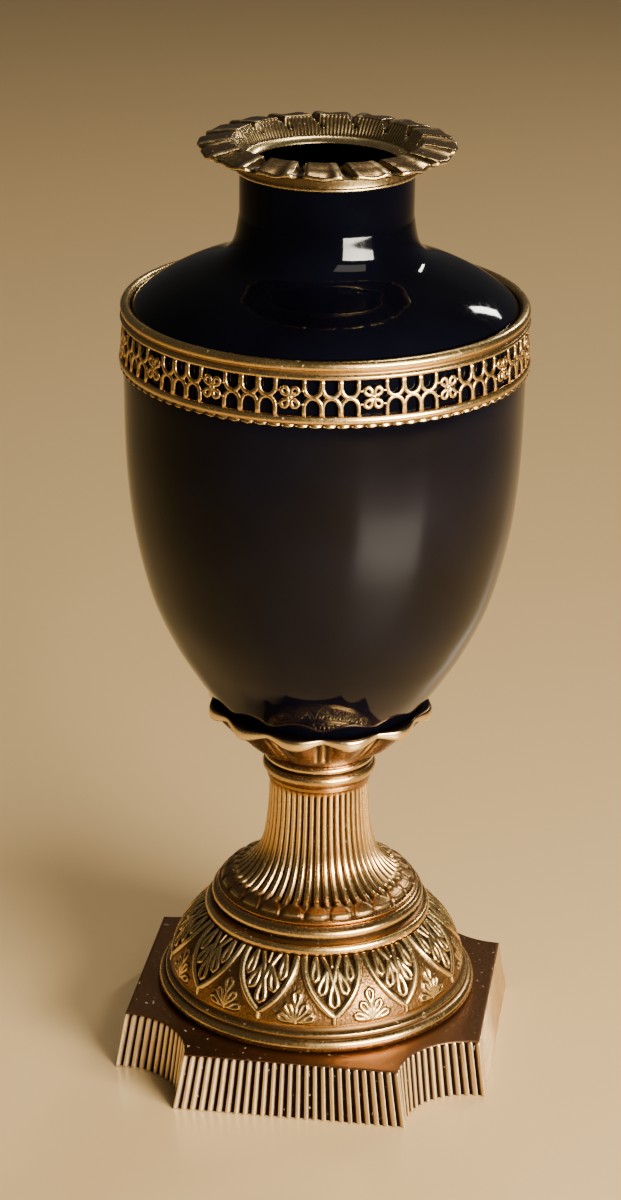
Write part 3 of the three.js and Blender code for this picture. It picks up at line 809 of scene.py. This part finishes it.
def make_band_rings():
    """The lower ring's edge is scalloped by arches; the upper ring has a cove between two rounds."""
    r_in_low = vase_radius_at(band_bottom) + vase_clearance
    low = moulding((r_in_low, 1.2), (band_radius - 1.1, 0.0, 0, 3), (band_radius - 0.2, 0.6, 0.2, 3),
                   (band_radius - 0.6, 1.9, 0, 3), (band_radius - 0.2, 2.2, 0, 2),
                   (band_radius - 0.5, 5.7, 0.5, 9), (band_radius - 1.4, lower_ring_height, 0.15, 3),
                   (r_in_low, lower_ring_height, 0, 3))
    columns = scallop_count * scallop_samples
    arch = np.abs(np.sin(math.pi * np.arange(columns) / scallop_samples))[None, :] ** 0.6
    edge = ((low[1] < 2.0) & (low[0] > band_radius - 1.5))[:, None]
    low_relief = np.where(edge, (arch - 1.0) * 1.5, 0.0)
    low_hollow = np.where(edge, 1 - arch, 0.0) + ((low[1] > 1.6) & (low[1] < 2.15))[:, None] * 0.8
    low_rubbed = np.where(edge, arch * 0.8, ((low[1] > 2.6) & (low[1] < 5.6))[:, None] * 1.0)
    r_in_high = vase_radius_at(band_bottom + gallery_top) + vase_clearance
    high = moulding((r_in_high, 0.0), (band_radius - 1.4, 0.0, 0, 3), (band_radius - 1.1, 2.3, 0.75, 8),
                    (band_radius - 1.3, 4.7, -0.55, 8), (band_radius - 1.0, 5.0, 0, 2),
                    (band_radius - 3.4, upper_ring_height, 1.35, 12), (band_radius - 5.0, 8.1, 0.3, 5),
                    (vase_radius_at(band_bottom + gallery_top + 6.6) + vase_clearance, 6.6, 0, 2))
    in_cove = np.exp(-((high[1] - 3.5) / 0.9) ** 2) * (high[0] > band_radius - 3)
    high_hollow, high_rubbed = 0.5 * in_cove[:, None], (1 - in_cove)[:, None] * 0.8
    high = raised(high, band_bottom + gallery_top)
    shells = [
        hoop(raised(low, band_bottom), columns, low_relief, low_hollow, low_rubbed),
        hoop(high, wide_columns, 0.0, high_hollow, high_rubbed),
    ]
    return new_mesh("band_rings", *joined(shells))


finish_piece(make_band_rings(), gilt_brass, "gilt_brass", "pierced_band")

# Openwork of the pierced band
# Cast brass tracery on the porcelain: in each column a U-shaped opening hangs over an arched one, with a
# diamond between each two columns. After three columns a rosette of four hollow petals fills a wider cell.
band_periods = 16
band_columns = 3
rosette_share = 1.5
band_turn = -1.5
column_width = 2 * math.pi * band_radius / band_periods / (band_columns + rosette_share)
bar_half_width = 1.14
bar_half_depth = 0.85
strand_set_back = 0.28
opening_half_width = 0.5 * column_width - strand_set_back
petal_half_width = 1.02
petal_lean = 51.0
gallery_middle = lower_ring_height + 0.5 * gallery_height


def on_band(x, z, out):
    """The point x round the band from a rosette's middle, z above its lower edge, out from its face."""
    angle = np.radians(band_turn) + x / band_radius
    face = np.interp(z, [lower_ring_height, gallery_top], [band_radius - 0.2, band_radius - 1.7])
    radius = face + out
    return np.stack([radius * np.sin(angle), -radius * np.cos(angle), band_bottom + z + 0 * x], -1)


def bar(x, z, looped, half_width=bar_half_width, half_depth=bar_half_depth, standing=0.0):
    """A bar with a rounded section carried along a path on the band, as one closed shell.
    The path is given as whole arrays; a looped one joins its own start."""
    if looped:
        run_x, run_z = np.roll(x, -1) - np.roll(x, 1), np.roll(z, -1) - np.roll(z, 1)
    else:
        run_x, run_z = np.gradient(x), np.gradient(z)
    length = np.hypot(run_x, run_z)
    side_x, side_z = -run_z / length, run_x / length
    section = np.radians(np.arange(8) * 45.0 + 22.5)
    across = half_width * np.sign(np.cos(section)) * np.abs(np.cos(section)) ** 0.7
    out = half_depth * np.sign(np.sin(section)) * np.abs(np.sin(section)) ** 0.7
    points = on_band(x[:, None] + side_x[:, None] * across, z[:, None] + side_z[:, None] * across,
                     out[None, :] - half_depth + standing + 0 * x[:, None])
    outward = np.clip(np.sin(section), 0, 1)[None, :] + 0 * x[:, None]
    inward = np.clip(-np.sin(section), 0, 1)[None, :] + 0 * x[:, None]
    return (*closed_shell(points, loop=looped),
            shell_marks({"hollow": inward, "rubbed": outward}, points.shape[:2], loop=looped))


def make_openwork():
    """One U and its mirror image per column, four petal loops and a boss per rosette, repeated round.
    A petal is an ellipse that is broader at its outer end."""
    shells = []
    bend = np.radians(np.linspace(0, 180, 15))
    straight = np.linspace(gallery_top + 0.2, gallery_middle + 5.0, 3)[:-1]
    u_x = np.concatenate([np.full(2, opening_half_width), opening_half_width * np.cos(bend),
                          np.full(2, -opening_half_width)])
    u_z = np.concatenate([straight, gallery_middle + 5.0 - 4.8 * np.sin(bend), straight[::-1]])
    turn = np.radians(np.arange(16) * 360 / 16)
    long_way = 3.7 + 2.1 * np.cos(turn)
    wide_way = 1.6 * np.sin(turn) * (1 + 0.3 * np.cos(turn))
    for period in range(band_periods):
        start = period * (band_columns + rosette_share) * column_width
        for column in range(band_columns):
            middle = start + (0.5 * rosette_share + column + 0.5) * column_width
            shells.append(bar(middle + u_x, u_z, False))
            shells.append(bar(middle - u_x, 2 * gallery_middle - u_z, False))
        for lean in (petal_lean, 180 - petal_lean, 180 + petal_lean, 360 - petal_lean):
            c, s = math.cos(math.radians(lean)), math.sin(math.radians(lean))
            petal_x = start + long_way * c - wide_way * s
            petal_z = gallery_middle + long_way * s + wide_way * c
            shells.append(bar(petal_x, petal_z, True, petal_half_width, 0.8, 0.2))
        boss_x, boss_z = start + 0.9 * np.cos(turn), gallery_middle + 0.9 * np.sin(turn)
        shells.append(bar(boss_x, boss_z, True, 0.7, 0.8, 0.3))
        for side in (-1.0, 1.0):
            lug = np.linspace(4.6, 7.2, 4) * side
            shells.append(bar(start + lug, gallery_middle + 3.3 + 0 * lug, False, 0.5, 0.5))
            shells.append(bar(start + lug, gallery_middle - 3.3 + 0 * lug, False, 0.5, 0.5))
    return new_mesh("openwork", *joined(shells))


finish_piece(make_openwork(), gilt_brass, "gilt_brass", "pierced_band")

# Mouth mount
# A cast brass collar over the top of the neck that flares into sixteen leaf tips, rolled over outward.
# Its inside is finely fluted, and a curved slot like a comma parts each tip from the next.
mount_seat = 491.6
mount_drop = 3.1
mount_bore = 44.8
mouth_radius = 37.4
rim_lobes = 16
rim_turn = 4.6
rim_columns = 72
rim_flutes = 9
slot_inner_half = 0.072
slot_outer_half = 0.058


def mouth_profiles():
    """Two endless sections with the same number of rows: one through a leaf tip, one through a slot.
    Both go up the collar, out under the rim, round its edge, in over the crest and down the funnel."""
    collar = [(45.9, -mount_drop, 0, 1), (46.1, -1.5, 0.5, 6), (45.8, -1.0, -0.1, 2), (45.8, 4.8, 0, 4)]
    throat = [(40.9, 3.0, 0.5, 10), (40.2, 2.9, 0.1, 2), (mouth_radius, 0.4, 0.3, 6),
              (mouth_radius, 0.0, 0, 1), (mount_bore, 0.0, 0, 3)]
    tip_rim = [(48.5, 6.6, -0.6, 4), (56.0, 7.6, -0.2, 4), (62.2, 7.3, 0.1, 3), (65.0, 8.0, 0.5, 4),
               (63.8, 10.0, 0.7, 5), (57.0, 11.3, 0.25, 6), (49.0, 12.5, 0.2, 4), (47.3, 11.6, 0.4, 4)]
    slot_rim = [(48.0, 5.9, -0.3, 4), (54.5, 6.6, 0, 4), (59.5, 6.9, 0, 3), (61.8, 7.9, 0.2, 4),
                (61.4, 8.8, 0.2, 5), (54.0, 8.2, 0, 6), (48.4, 7.6, 0, 4), (46.6, 7.5, 0, 4)]
    return [moulding((mount_bore, -mount_drop), *collar, *rim, *throat) for rim in (tip_rim, slot_rim)]


def make_mouth():
    """Each row is one ring whose radius and height run from the slot's value to the leaf tip's.
    A slot is a comma: it sweeps sideways as it goes in over the crest. A tip is raised along one side,
    hollowed beside that, rounded at its corners and wavy along its edge, and no two are quite alike."""
    (tip_r, tip_z), (slot_r, slot_z) = mouth_profiles()
    tip_r, tip_z, slot_r, slot_z = (each[:-1, None] for each in (tip_r, tip_z, slot_r, slot_z))
    row = np.arange(len(tip_r))[:, None]
    # Rows counted in the profiles' steps: the rim's first, a tip's foremost, the crest, the funnel's end.
    first_rim, edge_row, last_rim, last_funnel = 13, 30, 47, 57
    columns = rim_lobes * rim_columns
    part = (np.arange(columns) / rim_columns)[None, :]
    outward = np.clip((tip_r - 45.0) / 20.0, 0, 1)
    sweep = 0.07 * outward - 0.2 * (1 - outward) ** 10
    shifted = part - sweep + 0.5
    number = np.floor(shifted)
    across = 2 * (shifted - number) - 1
    chance = np.sin(2.4 * number) + 0.6 * np.sin(5.1 * number + 1)
    from_slot = 0.5 * (1 - np.abs(across))
    breadth = (slot_inner_half + (slot_outer_half - slot_inner_half) * outward) * (1 + 0.12 * chance)
    lobe = smooth_step(from_slot, breadth * 0.5, breadth * (1.5 + outward))
    lobe = 1 - (1 - lobe) * (1 - smooth_step(row, last_rim + 2, last_rim + 7))
    edge_wave = (0.12 * np.cos(3 * math.pi * across + chance) - 1.3 * across ** 2
                 - 1.6 * across ** 6 - 0.2 * chance)
    fold = 0.75 * np.exp(-((across - 0.58) / 0.2) ** 2) - 0.5 * np.exp(-((across - 0.15) / 0.3) ** 2)
    fold = fold + 0.25 * np.exp(-((across + 0.6) / 0.16) ** 2) - 0.9 * across ** 6
    over = (row >= edge_row) & (row < last_rim)
    leaf_r = tip_r + edge_wave * outward ** 3 * (row > first_rim)
    leaf_z = tip_z + fold * outward ** 1.5 * np.where(over, 0.9, 0.5) * (row > first_rim) * (row < last_rim)
    leaf_z = leaf_z - 0.2 * outward ** 3 * np.cos(2 * math.pi * across + chance)
    r = slot_r + (leaf_r - slot_r) * lobe
    z = slot_z + (leaf_z - slot_z) * lobe
    flute = 0.5 + 0.5 * np.cos(2 * math.pi * rim_flutes * part)
    cut = np.interp(row, [last_rim - 2, last_rim, last_funnel - 2, last_funnel - 0.5], [0, 1, 1, 0])
    r = r + 0.36 * flute * cut
    z = z - 0.25 * flute * cut
    angle = np.radians(rim_turn) + 2 * math.pi * part / rim_lobes
    points = np.stack([r * np.sin(angle), -r * np.cos(angle), z + mount_seat], -1)
    # Painted shade: the slots between the tips are painted dark and the underside of the tips is darkened;
    # the grooves of the funnel's flutes carry patina.
    painted_shade_in_slot = (1 - lobe) * (row > first_rim) * (row < last_funnel - 3)
    painted_shade_beneath = smooth_step(row, first_rim, first_rim + 4) * (row < edge_row - 6)
    # Painted highlights: the raised folds on the tops of the tips, the bevel round the opening and a band
    # along the rolled outer edge of each tip are painted pale.
    painted_highlight_on_folds = smooth_step(fold, 0.1, 0.5) * over * lobe
    hollow = painted_shade_in_slot + 0.4 * flute * cut + 0.7 * painted_shade_beneath
    ring = (row >= last_funnel) & (row < last_funnel + 9)
    bead = (row > 1) & (row < 8)
    painted_highlight_on_tip_edge = (np.abs(row - edge_row + 3) < 4) * lobe
    rubbed = painted_highlight_on_folds + ring + bead + 0.7 * painted_highlight_on_tip_edge + 0.15 * (row <= first_rim) + 0.7 * (1 - flute) * cut
    marks = shell_marks({"hollow": hollow, "rubbed": rubbed}, points.shape[:2], loop=True)
    return new_mesh("leaf_rim", *closed_shell(points, loop=True), marks)


dark_brass = brass("dark_brass", body=(0.3, 0.19, 0.08), dark=(0.01, 0.008, 0.004),
                   bright=(1.0, 0.76, 0.37), rough=0.24, dusty=0.3, grain=0.00006)
finish_piece(make_mouth(), dark_brass, "dark_brass", "mouth_mount")

# Stage
# A plain pale floor and plain soft light: a broad low window to the right of the camera with a dimmer
# bright wall above it, a smaller window behind the urn, and a lamp high up behind it.
floor_half = 6.0
floor_drop = 0.0002
urn_middle = 0.25


def make_floor():
    """A flat square just under the plinth."""
    mesh = bpy.data.meshes.new("floor")
    corners = [(-floor_half, -floor_half), (floor_half, -floor_half),
               (floor_half, floor_half), (-floor_half, floor_half)]
    mesh.from_pydata([(x, y, -floor_drop) for x, y in corners], [], [(0, 1, 2, 3)])
    floor = bpy.data.objects.new("floor", mesh)
    material = bpy.data.materials.new("floor")
    material.use_nodes = True
    shader = material.node_tree.nodes["Principled BSDF"]
    shader.inputs["Base Color"].default_value = (0.68, 0.47, 0.22, 1)
    shader.inputs["Roughness"].default_value = 0.31
    shader.inputs["Specular IOR Level"].default_value = 0.8
    mesh.materials.append(material)
    bpy.context.scene.collection.objects.link(floor)


def soft_light(name, azimuth, elevation, distance, width, height, watts, colour, spread=180):
    """A rectangular light at an azimuth from the front towards +X, aimed at the middle of the urn.
    Its light fans out by spread degrees."""
    a, e = math.radians(azimuth), math.radians(elevation)
    away = np.array([math.sin(a) * math.cos(e), -math.cos(a) * math.cos(e), math.sin(e)])
    side = np.array([math.cos(a), math.sin(a), 0.0])
    data = bpy.data.lights.new(name, "AREA")
    data.shape = "RECTANGLE"
    data.size, data.size_y, data.energy, data.color = width, height, watts, colour
    data.spread = math.radians(spread)
    light = bpy.data.objects.new(name, data)
    matrix = np.eye(4)
    matrix[:3, 0], matrix[:3, 1], matrix[:3, 2] = side, np.cross(away, side), away
    matrix[:3, 3] = away * distance + np.array([0, 0, urn_middle])
    light.matrix_world = Matrix(matrix.tolist())
    bpy.context.scene.collection.objects.link(light)


make_floor()
soft_light("window", 48.0, 13.0, 1.6, 1.1, 0.28, 30, (1.0, 0.91, 0.75), spread=90)
soft_light("bright_wall", 40.0, 36.0, 2.4, 1.4, 0.9, 16, (1.0, 0.92, 0.78))
soft_light("back_window", 152.0, 30.0, 2.6, 0.16, 0.5, 16, (1.0, 0.95, 0.86))
soft_light("overhead", 173.0, 60.0, 2.4, 0.6, 0.5, 18, (1.0, 0.92, 0.76))
world = bpy.data.worlds.new("room")
world.use_nodes = True
world.node_tree.nodes["Background"].inputs["Color"].default_value = (0.86, 0.8, 0.7, 1)
world.node_tree.nodes["Background"].inputs["Strength"].default_value = 0.08
bpy.context.scene.world = world
